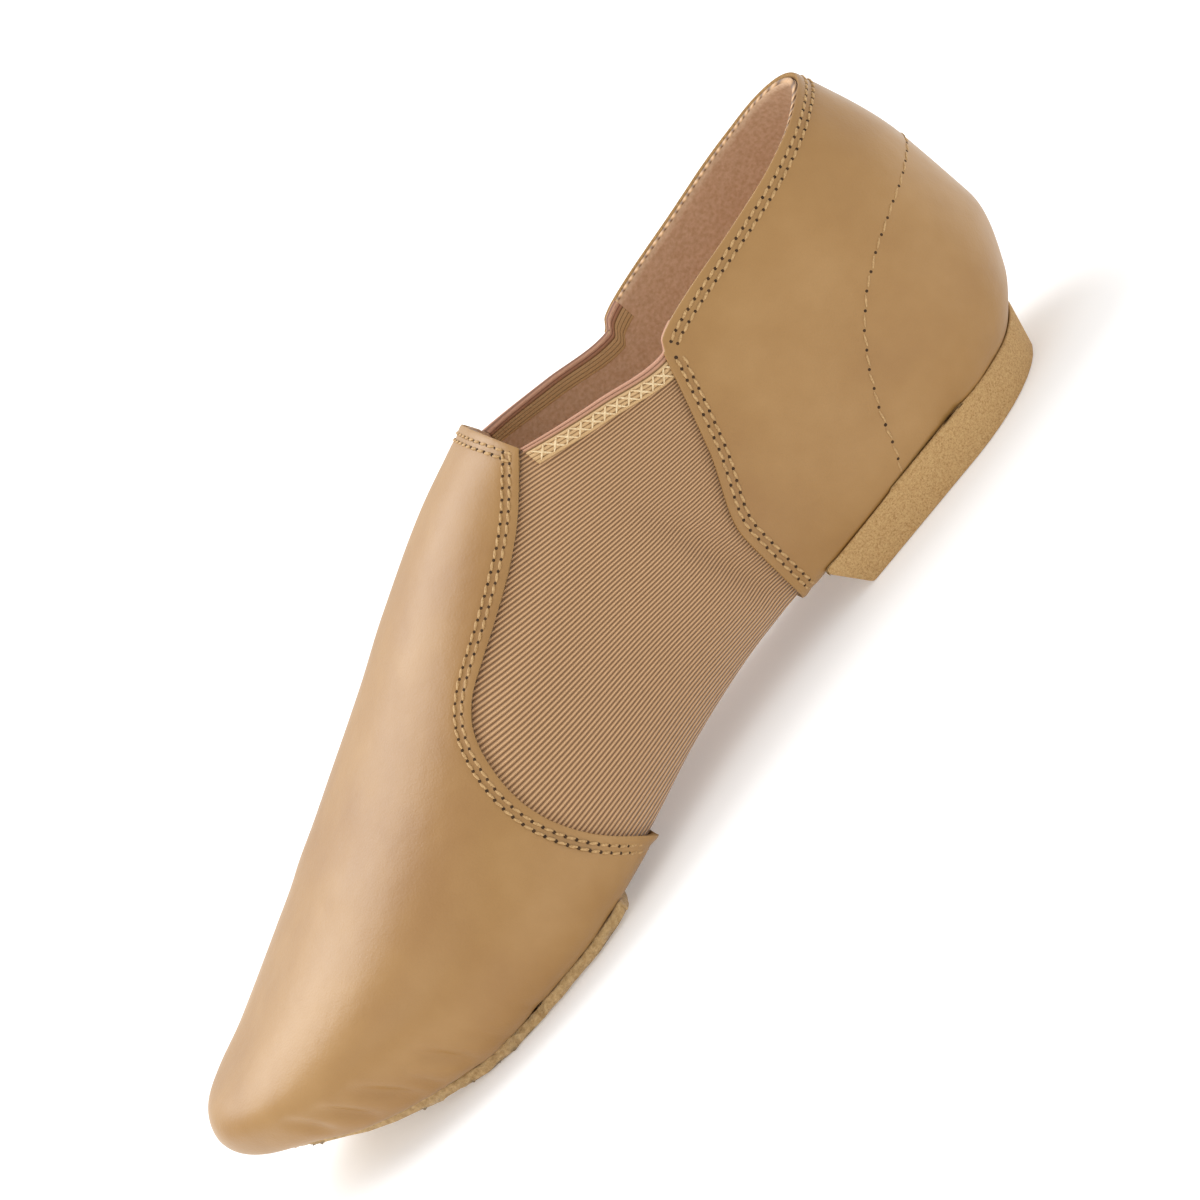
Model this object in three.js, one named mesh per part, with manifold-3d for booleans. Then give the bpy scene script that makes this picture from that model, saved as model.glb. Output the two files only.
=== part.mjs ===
// Left jazz shoe with a split sole, unbent. Millimetres, +X to the toe, +Y the outer side, +Z up.
import * as THREE from 'three'
import { mergeVertices } from 'three/addons/utils/BufferGeometryUtils.js'
import Module from 'manifold-3d'

const wasm = await Module()
wasm.setup()

// Sizes of the shoe
const shoeLength = 245
const ballWidth = 85
const instepHeight = 80
const collarHeight = 74
const heelHeight = 9
const soleThick = 2.5
const toeSpring = 20.2

// Layers, from the leather's face inward
const leatherThick = 1.2
const stretchThick = 1.2
const insoleThick = 1.5
const bindingThick = 0.9
const seatGap = 0.3

// Edges and margins
const bindingWidth = 4.5
const lastingMargin = 9
const insoleInset = 9
const soleInset = 6
const soleRear = 0.622 * shoeLength
const soleBow = 5
const forefootOpening = [0.66 * shoeLength, shoeLength]
const heelOpening = [0, 0.285 * shoeLength]

// Heel block
const heelLength = 66
const heelWidth = 54
const heelOverhang = 1.5
const heelTaper = { back: 3.2, breast: 5, side: 2 }
const heelRim = 1.6
const breastHollow = 2.5

// Fineness of the meshes
const stations = 42
const cornerSteps = 4
const archSteps = 8

// Sections of the leather's outer face. at: share of the length. spine, outer, inner: share of
// the ball width (ridge line, widest point on each side). flat: share of the half width that is
// flat underneath. heel: share of the heel's lift. spring: share of the toe spring. rise: crown
// over the bottom, share of the instep height. wide: share of that rise where it is widest.
// arch: how full the top is (2 is an ellipse).
const sections = [
  { at: 0, spine: 0, outer: 0, inner: 0, flat: 0.8, heel: 1.34, spring: 0, rise: 1.131, wide: 0.19, arch: 1.8 },
  { at: 0.012, spine: 0, outer: 0.149, inner: 0.149, flat: 0.8, heel: 1.05, spring: 0, rise: 1.155, wide: 0.2, arch: 1.8 },
  { at: 0.06, spine: 0, outer: 0.298, inner: 0.298, flat: 0.8, heel: 1, spring: 0, rise: 1.159, wide: 0.2, arch: 1.8 },
  { at: 0.12, spine: 0, outer: 0.35, inner: 0.346, flat: 0.8, heel: 1, spring: 0, rise: 1.159, wide: 0.2, arch: 1.8 },
  { at: 0.25, spine: -0.005, outer: 0.348, inner: 0.336, flat: 0.8, heel: 1, spring: 0, rise: 1.109, wide: 0.21, arch: 1.85 },
  { at: 0.35, spine: -0.012, outer: 0.35, inner: 0.32, flat: 0.74, heel: 0.95, spring: 0, rise: 0.975, wide: 0.244, arch: 2.2 },
  { at: 0.42, spine: -0.02, outer: 0.355, inner: 0.306, flat: 0.62, heel: 0.8, spring: 0, rise: 0.891, wide: 0.273, arch: 2.45 },
  { at: 0.49, spine: -0.035, outer: 0.386, inner: 0.32, flat: 0.62, heel: 0.57, spring: 0, rise: 0.85, wide: 0.287, arch: 2.4 },
  { at: 0.58, spine: -0.055, outer: 0.459, inner: 0.376, flat: 0.7, heel: 0.2, spring: 0, rise: 0.775, wide: 0.274, arch: 2.25 },
  { at: 0.64, spine: -0.07, outer: 0.506, inner: 0.435, flat: 0.76, heel: 0.04, spring: 0, rise: 0.705, wide: 0.267, arch: 2.15 },
  { at: 0.69, spine: -0.08, outer: 0.525, inner: 0.47, flat: 0.8, heel: 0, spring: 0, rise: 0.645, wide: 0.265, arch: 2.1 },
  { at: 0.745, spine: -0.085, outer: 0.515, inner: 0.482, flat: 0.8, heel: 0, spring: 0, rise: 0.577, wide: 0.285, arch: 2.1 },
  { at: 0.79, spine: -0.085, outer: 0.489, inner: 0.475, flat: 0.8, heel: 0, spring: 0, rise: 0.525, wide: 0.3, arch: 2.1 },
  { at: 0.83, spine: -0.083, outer: 0.45, inner: 0.455, flat: 0.8, heel: 0, spring: 0.084, rise: 0.456, wide: 0.34, arch: 2.15 },
  { at: 0.91, spine: -0.075, outer: 0.325, inner: 0.388, flat: 0.78, heel: 0, spring: 0.347, rise: 0.3025, wide: 0.38, arch: 2.3 },
  { at: 0.951, spine: -0.067, outer: 0.224, inner: 0.333, flat: 0.75, heel: 0, spring: 0.594, rise: 0.208, wide: 0.42, arch: 2.3 },
  { at: 0.98, spine: -0.062, outer: 0.116, inner: 0.243, flat: 0.7, heel: 0, spring: 0.723, rise: 0.152, wide: 0.46, arch: 2.2 },
  { at: 1, spine: -0.059, outer: -0.059, inner: 0.059, flat: 0.7, heel: 0, spring: 1, rise: 0, wide: 0.5, arch: 2 },
]

// Back of the heel seen from the side. up: share of the collar height. ahead: how far the back
// lies ahead of its rearmost point, share of the length.
const backCurve = [
  { up: 0.124, ahead: 0.0527 },
  { up: 0.223, ahead: 0.0241 },
  { up: 0.413, ahead: 0 },
  { up: 0.653, ahead: 0.0008 },
  { up: 0.996, ahead: 0.0208 },
  { up: 1.4, ahead: 0.057 },
]
const backFade = 0.37 * shoeLength

// Edges seen from the side. at: share of the length. up: share of the instep height.
const collarEdge = [
  { at: -0.03, up: 0.929 },
  { at: 0.02, up: 0.922 },
  { at: 0.08, up: 0.895 },
  { at: 0.16, up: 0.866 },
  { at: 0.245, up: 0.841 },
  { at: 0.267, up: 0.825 },
  { at: 0.276, up: 0.8 },
]
const throatEdge = [
  { at: 0.276, up: 0.8 },
  { at: 0.34, up: 0.851 },
  { at: 0.408, up: 0.9125 },
]
const vampEdge = [
  { at: 0.408, up: 0.9125 },
  { at: 0.461, up: 0.8 },
  { at: 0.527, up: 0.7125 },
  { at: 0.6, up: 0.625 },
  { at: 0.624, up: 0.5 },
  { at: 0.628, up: 0.375 },
  { at: 0.612, up: 0.225 },
  { at: 0.578, up: 0.0625 },
  { at: 0.57, up: -0.1 },
]
const quarterEdge = [
  { at: 0.276, up: 0.8 },
  { at: 0.314, up: 0.5625 },
  { at: 0.349, up: 0.356 },
  { at: 0.353, up: 0.131 },
  { at: 0.353, up: -0.1 },
]
const throatTop = 1.5

// Smooth curve through one column of a table. It never swings past the column's own values.
function smoothColumn(rows, from, name, spread = (share) => share) {
  const at = rows.map((row) => spread(row[from]))
  const value = rows.map((row) => row[name])
  const secant = value.slice(1).map((v, i) => (v - value[i]) / (at[i + 1] - at[i]))
  const slope = value.map((_, i) => {
    if (i === 0) return secant[0]
    if (i === value.length - 1) return secant[i - 1]
    if (secant[i - 1] * secant[i] <= 0) return 0
    const before = at[i] - at[i - 1]
    const after = at[i + 1] - at[i]
    return (3 * (before + after)) / ((2 * after + before) / secant[i - 1] + (after + 2 * before) / secant[i])
  })
  return (where) => {
    const place = Math.min(Math.max(where, at[0]), at[at.length - 1])
    const i = Math.min(Math.max(at.findIndex((a) => a >= place) - 1, 0), secant.length - 1)
    const step = at[i + 1] - at[i]
    const t = (place - at[i]) / step
    const rest = 1 - t
    return rest * rest * (1 + 2 * t) * value[i] + t * t * (3 - 2 * t) * value[i + 1]
      + t * rest * step * (rest * slope[i] - t * slope[i + 1])
  }
}

// The foot's length runs as an angle, which rounds the heel and the toe off.
const footAngle = (share) => Math.acos(1 - 2 * share) / Math.PI
const footShare = (angle) => (1 - Math.cos(Math.PI * angle)) / 2
const names = ['spine', 'outer', 'inner', 'flat', 'heel', 'spring', 'rise', 'wide', 'arch']
const columns = names.map((name) => [name, smoothColumn(sections, 'at', name, footAngle)])
const backAhead = smoothColumn(backCurve, 'up', 'ahead')

function sectionAt(angle) {
  const row = Object.fromEntries(columns.map(([name, curve]) => [name, curve(angle)]))
  const spine = row.spine * ballWidth
  const bottom = soleThick + seatGap + row.heel * (heelHeight - soleThick) + row.spring * toeSpring
  const rise = row.rise * instepHeight
  const reach = { 1: row.outer * ballWidth - spine, [-1]: row.inner * ballWidth + spine }
  const roll = ((1 - row.flat) * (reach[1] + reach[-1])) / 2
  return { spine, bottom, rise, reach, roll, wide: bottom + row.wide * rise, arch: row.arch }
}

// The heel's back leans and bulges: every point near it moves ahead with its height.
function leanBack(x, z) {
  const fade = Math.max(1 - x / backFade, 0)
  return x + backAhead(z / collarHeight) * shoeLength * fade * fade
}

// Half of a section, from the middle of the bottom up to the crown, on one side (1 or -1).
function halfSection(angle, side) {
  const { spine, bottom, rise, reach, roll, wide, arch } = sectionAt(angle)
  const half = reach[side]
  const flat = half - roll
  const corner = new THREE.CubicBezierCurve(
    new THREE.Vector2(flat, bottom),
    new THREE.Vector2(flat + 0.62 * roll, bottom),
    new THREE.Vector2(half, wide - 0.62 * (wide - bottom)),
    new THREE.Vector2(half, wide),
  ).getPoints(cornerSteps)
  const top = []
  for (let i = 1; i <= archSteps; i += 1) {
    const turn = (Math.PI / 2) * (i / archSteps)
    const out = half * Math.max(Math.cos(turn), 0) ** (2 / arch)
    top.push(new THREE.Vector2(i === archSteps ? 0 : out, wide + (bottom + rise - wide) * Math.sin(turn) ** (2 / arch)))
  }
  const x = footShare(angle) * shoeLength
  return [new THREE.Vector2(0, bottom), ...corner, ...top].map(
    (point) => new THREE.Vector3(leanBack(x, point.y), spine + side * point.x, point.y),
  )
}

function closedSolid(geometry) {
  geometry.deleteAttribute('normal')
  geometry.deleteAttribute('uv')
  const merged = mergeVertices(geometry, 1e-4)
  const kept = []
  for (let i = 0; i < merged.index.count; i += 3) {
    const [a, b, c] = [0, 1, 2].map((k) => merged.index.getX(i + k))
    if (a !== b && b !== c && c !== a) kept.push(a, b, c)
  }
  merged.setIndex(kept)
  return merged
}

function asManifold(geometry) {
  const solid = closedSolid(geometry)
  return new wasm.Manifold(
    new wasm.Mesh({
      numProp: 3,
      vertProperties: new Float32Array(solid.attributes.position.array),
      triVerts: new Uint32Array(solid.index.array),
    }),
  )
}

// Closed body of the shoe: the leather's outer face, moved inward by depth (outward if negative).
function lastGeometry() {
  const rings = []
  for (let s = 0; s <= stations; s += 1) {
    const outer = halfSection(s / stations, 1)
    const inner = halfSection(s / stations, -1)
    rings.push([...outer, ...inner.slice(1, -1).reverse()])
  }
  const around = rings[0].length
  const index = []
  for (let s = 0; s < stations; s += 1) {
    for (let k = 0; k < around; k += 1) {
      const a = s * around + k
      const b = s * around + ((k + 1) % around)
      index.push(a, b + around, a + around, a, b, b + around)
    }
  }
  const geometry = new THREE.BufferGeometry().setFromPoints(rings.flat())
  geometry.setIndex(index)
  const merged = closedSolid(geometry)
  merged.computeVertexNormals()
  return merged
}

const lastFace = lastGeometry()

function lastForm(depth) {
  const geometry = lastFace.clone()
  const { position, normal } = geometry.attributes
  for (let i = 0; i < position.count; i += 1) {
    position.setXYZ(
      i,
      position.getX(i) - depth * normal.getX(i),
      position.getY(i) - depth * normal.getY(i),
      position.getZ(i) - depth * normal.getZ(i),
    )
  }
  return asManifold(geometry)
}

const layer = (outerDepth, innerDepth) => lastForm(outerDepth).subtract(lastForm(innerDepth))

// Prisms: one seen from the side and run across the shoe, one seen from above and run up.
function acrossShoe(outline) {
  const reach = ballWidth
  const geometry = new THREE.ExtrudeGeometry(new THREE.Shape(outline), { depth: 2 * reach, bevelEnabled: false })
  return asManifold(geometry.rotateX(Math.PI / 2).translate(0, reach, 0))
}

function upright(outline, low, high) {
  const geometry = new THREE.ExtrudeGeometry(new THREE.Shape(outline), { depth: high - low, bevelEnabled: false })
  return asManifold(geometry.translate(0, 0, low))
}

function edgePoints(rows, steps = 24) {
  const points = rows.map((row) => new THREE.Vector2(row.at * shoeLength, row.up * instepHeight))
  return new THREE.SplineCurve(points).getPoints(steps)
}

const corner = (at, up) => new THREE.Vector2(at * shoeLength, up * instepHeight)

// Plan of the foot at a height, kept inset inside its widest line, between two places along it.
function planOutline(inset, from, to, height, bow = 0) {
  const side = (sign) => {
    const points = []
    for (let s = 0; s <= stations; s += 1) {
      const { spine, reach } = sectionAt(s / stations)
      const x = inset + footShare(s / stations) * (shoeLength - 2 * inset)
      const kept = 1 - inset / Math.max(reach[sign], ballWidth / 3)
      const place = new THREE.Vector2(leanBack(x, height), spine + sign * reach[sign] * kept)
      if (place.x > from && place.x < to) points.push(place)
    }
    return points
  }
  const outer = side(1)
  const inner = side(-1).reverse()
  const meets = (a, b) => a.distanceTo(b) < 1e-3
  if (meets(outer[outer.length - 1], inner[0])) inner.shift()
  if (meets(inner[inner.length - 1], outer[0])) inner.pop()
  if (bow === 0) return [...outer, ...inner]
  const first = inner[inner.length - 1]
  const last = outer[0]
  const middle = new THREE.Vector2(Math.min(first.x, last.x) - 2 * bow, (first.y + last.y) / 2)
  const rear = new THREE.QuadraticBezierCurve(first, middle, last).getPoints(8).slice(1, -1)
  return [...outer, ...inner, ...rear]
}

// Outline of the heel block at one height: round back, straight sides, hollow breast.
function heelOutline(back, breast, width) {
  const half = width / 2
  const round = new THREE.EllipseCurve(back + half * 1.1, 0, half * 1.1, half, Math.PI / 2, (3 * Math.PI) / 2)
  const front = new THREE.QuadraticBezierCurve(
    new THREE.Vector2(breast, -half + 1),
    new THREE.Vector2(breast - 2 * breastHollow, 0),
    new THREE.Vector2(breast, half - 1),
  )
  return [...round.getPoints(20), ...front.getPoints(8)]
}

// Closed body between outlines of equal point count, given as [points, height] from the bottom up.
function stackOutlines(levels) {
  const count = levels[0][0].length
  const points = levels.flatMap(([outline, height]) => outline.map((p) => new THREE.Vector3(p.x, p.y, height)))
  const index = []
  for (let level = 0; level < levels.length - 1; level += 1) {
    for (let k = 0; k < count; k += 1) {
      const a = level * count + k
      const b = level * count + ((k + 1) % count)
      index.push(a, b, b + count, a, b + count, a + count)
    }
  }
  const top = (levels.length - 1) * count
  for (const [a, b, c] of THREE.ShapeUtils.triangulateShape(levels[0][0], [])) {
    index.push(a, c, b, top + a, top + b, top + c)
  }
  return asManifold(new THREE.BufferGeometry().setFromPoints(points).setIndex(index))
}

// Cutters
const sky = 2 * instepHeight
const ground = -instepHeight
const toplineCutter = acrossShoe([
  ...edgePoints(collarEdge),
  ...edgePoints(throatEdge, 8).slice(1),
  corner(0.4185, 1),
  corner(0.424, throatTop),
  corner(-0.03, throatTop),
])
const vampSide = [...edgePoints(vampEdge, 32), corner(1.1, -0.1), corner(1.1, throatTop), corner(0.408, throatTop)]
const quarterSide = [...edgePoints(quarterEdge, 16), corner(-0.1, -0.1), corner(-0.1, throatTop), corner(0.276, throatTop)]
const openingInset = insoleInset + lastingMargin
const openingTop = 2 * heelHeight
const forefootCutter = upright(planOutline(openingInset, ...forefootOpening, 0), ground, openingTop)
const heelCutter = upright(planOutline(openingInset, ...heelOpening, heelHeight), ground, openingTop)

// Layers of the upper
const stretchDepth = leatherThick + seatGap
const innerDepth = stretchDepth + stretchThick
const upper = layer(stretchDepth, innerDepth).subtract(toplineCutter).subtract(forefootCutter).subtract(heelCutter)
const leather = layer(0, leatherThick).subtract(toplineCutter)
const vamp = leather.intersect(acrossShoe(vampSide)).subtract(forefootCutter)
const quarter = leather.intersect(acrossShoe(quarterSide)).subtract(heelCutter)

// Binding on the top edge of the stretch, between the two leathers
const throatLine = edgePoints(throatEdge, 8)
const bandSide = [
  ...throatLine.map((p) => p.clone().add(new THREE.Vector2(0, bindingWidth))),
  ...throatLine.map((p) => p.clone().sub(new THREE.Vector2(0, bindingWidth))).reverse(),
]
const bandFront = bandSide.map((p) => new THREE.Vector2(p.x + bindingWidth * Math.sign(p.y), p.y))
const bands = layer(stretchDepth - seatGap - bindingThick, stretchDepth - seatGap)
  .intersect(acrossShoe(bandSide).add(acrossShoe(bandFront)))
  .subtract(toplineCutter)
  .subtract(acrossShoe(vampSide).translate([-seatGap, 0, 0]))
  .subtract(acrossShoe(quarterSide).translate([seatGap, 0, 0]))
const [bindingInner, bindingOuter] = [-1, 1].map((side) => {
  const half = new THREE.BoxGeometry(2 * shoeLength, ballWidth, 4 * instepHeight)
  return bands.intersect(asManifold(half.translate(shoeLength / 2, (side * ballWidth) / 2, 0)))
})

// Soles and insole
const soleFace = lastForm(-seatGap)
const solePlan = planOutline(soleInset, soleRear, shoeLength, 0, soleBow)
const forefootSole = soleFace
  .translate([0, 0, -soleThick])
  .subtract(soleFace)
  .intersect(upright(solePlan, ground, toeSpring))
const heelBack = backAhead(heelHeight / collarHeight) * shoeLength - heelOverhang
const heelTop = heelOutline(heelBack, heelBack + heelLength + breastHollow, heelWidth)
const heelFoot = heelOutline(
  heelBack + heelTaper.back,
  heelBack + heelLength + breastHollow - heelTaper.breast,
  heelWidth - 2 * heelTaper.side,
)
const heelBlock = stackOutlines([[heelFoot, 0], [heelTop, heelHeight], [heelTop, heelHeight + heelRim]])
  .subtract(soleFace)
const insoleFace = lastForm(innerDepth + seatGap)
const insole = insoleFace
  .subtract(insoleFace.translate([0, 0, insoleThick]))
  .intersect(upright(planOutline(insoleInset, 0, shoeLength, heelHeight), ground, toeSpring + heelHeight))

// Pieces by name, with the colours of the photo
const pieces = [
  ['upper', upper, 0xa97f4f, 0.9],
  ['vamp', vamp, 0xb08850, 0.55],
  ['heel_quarter', quarter, 0xa9793f, 0.55],
  ['binding_lateral', bindingOuter, 0xc8ad84, 0.85],
  ['binding_medial', bindingInner, 0xc8ad84, 0.85],
  ['forefoot_sole', forefootSole, 0x957850, 0.95],
  ['heel_block', heelBlock, 0xb4915f, 0.9],
  ['insole', insole, 0xc9b08c, 0.85],
]

const group = new THREE.Group()
for (const [name, solid, color, roughness] of pieces) {
  const { vertProperties, triVerts } = solid.getMesh()
  const geometry = new THREE.BufferGeometry()
  geometry.setAttribute('position', new THREE.BufferAttribute(vertProperties, 3))
  geometry.setIndex(new THREE.BufferAttribute(triVerts, 1))
  const mesh = new THREE.Mesh(geometry, new THREE.MeshStandardMaterial({ color, roughness, metalness: 0 }))
  mesh.name = name
  group.add(mesh)
}

// The shoe stands over the middle of its own outline.
const middle = new THREE.Box3().setFromObject(group).getCenter(new THREE.Vector3())
for (const mesh of group.children) mesh.geometry.translate(-middle.x, -middle.y, 0)

export default group
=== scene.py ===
import math

import bmesh
import bpy
import numpy as np
from mathutils import Matrix, Vector
from mathutils.kdtree import KDTree


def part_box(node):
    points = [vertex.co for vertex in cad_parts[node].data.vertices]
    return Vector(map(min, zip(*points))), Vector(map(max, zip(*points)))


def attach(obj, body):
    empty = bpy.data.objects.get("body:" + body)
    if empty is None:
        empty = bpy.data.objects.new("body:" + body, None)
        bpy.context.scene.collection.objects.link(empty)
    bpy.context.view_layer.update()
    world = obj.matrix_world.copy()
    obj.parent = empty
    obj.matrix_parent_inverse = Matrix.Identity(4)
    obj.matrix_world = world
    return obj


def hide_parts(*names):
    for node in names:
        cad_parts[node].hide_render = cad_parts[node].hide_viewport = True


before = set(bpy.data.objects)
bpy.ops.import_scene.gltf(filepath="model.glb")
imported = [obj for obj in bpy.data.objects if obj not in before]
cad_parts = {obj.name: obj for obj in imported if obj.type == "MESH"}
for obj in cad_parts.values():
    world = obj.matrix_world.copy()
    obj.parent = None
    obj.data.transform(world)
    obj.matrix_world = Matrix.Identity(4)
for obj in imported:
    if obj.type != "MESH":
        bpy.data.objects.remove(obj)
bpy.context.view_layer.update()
print("frame loaded")

# The last, in millimetres from the heel's back. Same tables as the solids.
footLength, ballWidth, instepHeight = 245, 85, 80
collarHeight, heelHeight, soleThick, toeSpring, seatGap = 74, 9, 2.5, 20.2, 0.3
leatherThick, stretchThick = 1.2, 1.2
stretchDepth = leatherThick + seatGap

# share of length, ridge, outer side, inner side, flat, heel lift, toe spring, rise, widest, fullness
sections = np.array([
    (0, 0, 0, 0, 0.8, 1.34, 0, 1.131, 0.19, 1.8),
    (0.012, 0, 0.149, 0.149, 0.8, 1.05, 0, 1.155, 0.2, 1.8),
    (0.06, 0, 0.298, 0.298, 0.8, 1, 0, 1.159, 0.2, 1.8),
    (0.12, 0, 0.35, 0.346, 0.8, 1, 0, 1.159, 0.2, 1.8),
    (0.25, -0.005, 0.348, 0.336, 0.8, 1, 0, 1.109, 0.21, 1.85),
    (0.35, -0.012, 0.35, 0.32, 0.74, 0.95, 0, 0.975, 0.244, 2.2),
    (0.42, -0.02, 0.355, 0.306, 0.62, 0.8, 0, 0.891, 0.273, 2.45),
    (0.49, -0.035, 0.386, 0.32, 0.62, 0.57, 0, 0.85, 0.287, 2.4),
    (0.58, -0.055, 0.459, 0.376, 0.7, 0.2, 0, 0.775, 0.274, 2.25),
    (0.64, -0.07, 0.506, 0.435, 0.76, 0.04, 0, 0.705, 0.267, 2.15),
    (0.69, -0.08, 0.525, 0.47, 0.8, 0, 0, 0.645, 0.265, 2.1),
    (0.745, -0.085, 0.515, 0.482, 0.8, 0, 0, 0.577, 0.285, 2.1),
    (0.79, -0.085, 0.489, 0.475, 0.8, 0, 0, 0.525, 0.3, 2.1),
    (0.83, -0.083, 0.45, 0.455, 0.8, 0, 0.084, 0.456, 0.34, 2.15),
    (0.91, -0.075, 0.325, 0.388, 0.78, 0, 0.347, 0.3025, 0.38, 2.3),
    (0.951, -0.067, 0.224, 0.333, 0.75, 0, 0.594, 0.208, 0.42, 2.3),
    (0.98, -0.062, 0.116, 0.243, 0.7, 0, 0.723, 0.152, 0.46, 2.2),
    (1, -0.059, -0.059, 0.059, 0.7, 0, 1, 0, 0.5, 2),
])
backCurve = np.array([
    (0.124, 0.0527), (0.223, 0.0241), (0.413, 0), (0.653, 0.0008), (0.996, 0.0208), (1.4, 0.057),
])


def smoothColumn(at, value):
    secant = np.diff(value) / np.diff(at)
    slope = np.zeros(len(at))
    slope[0], slope[-1] = secant[0], secant[-1]
    for i in range(1, len(at) - 1):
        if secant[i - 1] * secant[i] > 0:
            before, after = at[i] - at[i - 1], at[i + 1] - at[i]
            slope[i] = 3 * (before + after) / (
                (2 * after + before) / secant[i - 1] + (after + 2 * before) / secant[i])

    def curve(where):
        place = np.clip(where, at[0], at[-1])
        i = np.clip(np.searchsorted(at, place) - 1, 0, len(secant) - 1)
        step = at[i + 1] - at[i]
        t = (place - at[i]) / step
        rest = 1 - t
        return (rest * rest * (1 + 2 * t) * value[i] + t * t * (3 - 2 * t) * value[i + 1]
                + t * rest * step * (rest * slope[i] - t * slope[i + 1]))
    return curve


def footAngle(share):
    return np.arccos(1 - 2 * np.asarray(share, float)) / math.pi


columns = [smoothColumn(footAngle(sections[:, 0]), sections[:, k]) for k in range(1, 10)]
backAhead = smoothColumn(backCurve[:, 0], backCurve[:, 1])
flatEnd, cornerEnd = 0.25, 0.45
# frame placing: the heel block's middle is the last's axis, the quarter's back its zero
quarterBox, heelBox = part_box("heel_quarter"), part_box("heel_block")
zeroX = quarterBox[0].x * 1000
zeroY = (heelBox[0].y + heelBox[1].y) * 500


def rawPoint(angle, girth):
    # girth runs 0 (under the middle) to 1 (the ridge), its sign is the side
    spine, outer, inner, flat, heel, spring, rise, wide, arch = [c(angle) for c in columns]
    side = np.where(girth < 0, -1.0, 1.0)
    g = np.abs(girth)
    spine = spine * ballWidth
    halfOuter, halfInner = outer * ballWidth - spine, inner * ballWidth + spine
    half = np.where(side > 0, halfOuter, halfInner)
    bottom = soleThick + seatGap + heel * (heelHeight - soleThick) + spring * toeSpring
    rise = rise * instepHeight
    wide = bottom + wide * rise
    roll = (1 - flat) * (halfOuter + halfInner) / 2
    level = half - roll
    c = np.clip((g - flatEnd) / (cornerEnd - flatEnd), 0, 1)
    bend = [(1 - c) ** 3, 3 * (1 - c) ** 2 * c, 3 * (1 - c) * c * c, c ** 3]
    cornerY = bend[0] * level + bend[1] * (level + 0.62 * roll) + (bend[2] + bend[3]) * half
    cornerZ = (bend[0] + bend[1]) * bottom + bend[2] * (wide - 0.62 * (wide - bottom)) + bend[3] * wide
    turn = np.clip((g - cornerEnd) / (1 - cornerEnd), 0, 1) * math.pi / 2
    topY = half * np.maximum(np.cos(turn), 0) ** (2 / arch)
    topZ = wide + (bottom + rise - wide) * np.maximum(np.sin(turn), 0) ** (2 / arch)
    y = np.where(g < flatEnd, level * g / flatEnd, np.where(g < cornerEnd, cornerY, topY))
    z = np.where(g < flatEnd, bottom, np.where(g < cornerEnd, cornerZ, topZ))
    x = (1 - np.cos(math.pi * angle)) / 2 * footLength
    fade = np.maximum(1 - x / (0.37 * footLength), 0)
    x = x + backAhead(z / collarHeight) * footLength * fade * fade
    return np.stack([x, spine + side * y, z], -1)


def facePoint(angle, girth, depth=0.0):
    # a point of the last's face, moved inward by depth, and its outward direction
    angle, girth = np.broadcast_arrays(np.asarray(angle, float), np.asarray(girth, float))
    side = np.where(girth < 0, -1.0, 1.0)
    low, high = np.clip(angle - 0.002, 0.0015, 0.9985), np.clip(angle + 0.002, 0.0015, 0.9985)
    low = np.where(high - low < 1e-4, low - 0.002 * (angle > 0.5), low)
    high = np.where(high - low < 1e-4, high + 0.002, high)
    g = np.abs(girth)
    gLow, gHigh = np.clip(g - 0.004, 0.0, 0.996), np.clip(g + 0.004, 0.004, 0.9999)
    middle = np.clip(angle, 0.0015, 0.9985)
    along = rawPoint(high, girth) - rawPoint(low, girth)
    around = rawPoint(middle, side * gHigh) - rawPoint(middle, side * gLow)
    out = np.cross(along, around) * -side[..., None]
    out /= np.maximum(np.linalg.norm(out, axis=-1, keepdims=True), 1e-9)
    return rawPoint(angle, girth) - out * np.asarray(depth)[..., None], out


def inFrame(points):
    return (points + np.array([zeroX, zeroY, 0])) / 1000


# Edges seen from the side, in millimetres
collarX = smoothColumn(np.array([-8, 4.9, 19.6, 39.2, 60, 65.4, 67.6, 83.3, 100]),
                       np.array([74.3, 73.8, 71.6, 69.3, 67.3, 66, 64, 68.1, 73]))
vampAhead = smoothColumn(np.array([-8, 5, 18, 30, 40, 50, 57, 64, 73, 80]),
                         np.array([139.7, 141.6, 149.9, 153.9, 152.9, 147, 129.1, 112.9, 100, 102.6]))
quarterAhead = smoothColumn(np.array([-8, 10.5, 28.5, 45, 64, 75]),
                            np.array([86.5, 86.5, 85.5, 76.9, 67.6, 62]))


def solveAngle(girth, edge, low, high, steps=34):
    # where a line along the foot crosses an edge that is given as x for a height
    low, high = np.full(np.shape(girth), low), np.full(np.shape(girth), high)
    for _ in range(steps):
        middle = (low + high) / 2
        p = rawPoint(middle, girth)
        short = p[..., 0] < edge(p[..., 2])
        low, high = np.where(short, middle, low), np.where(short, high, middle)
    return (low + high) / 2


def solveGirth(angle, side, edge, steps=34):
    low, high = np.full(np.shape(angle), cornerEnd), np.full(np.shape(angle), 0.999)
    for _ in range(steps):
        middle = (low + high) / 2
        p = rawPoint(angle, side * middle)
        under = p[..., 2] < edge(p[..., 0])
        low, high = np.where(under, middle, low), np.where(under, high, middle)
    return (low + high) / 2


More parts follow.
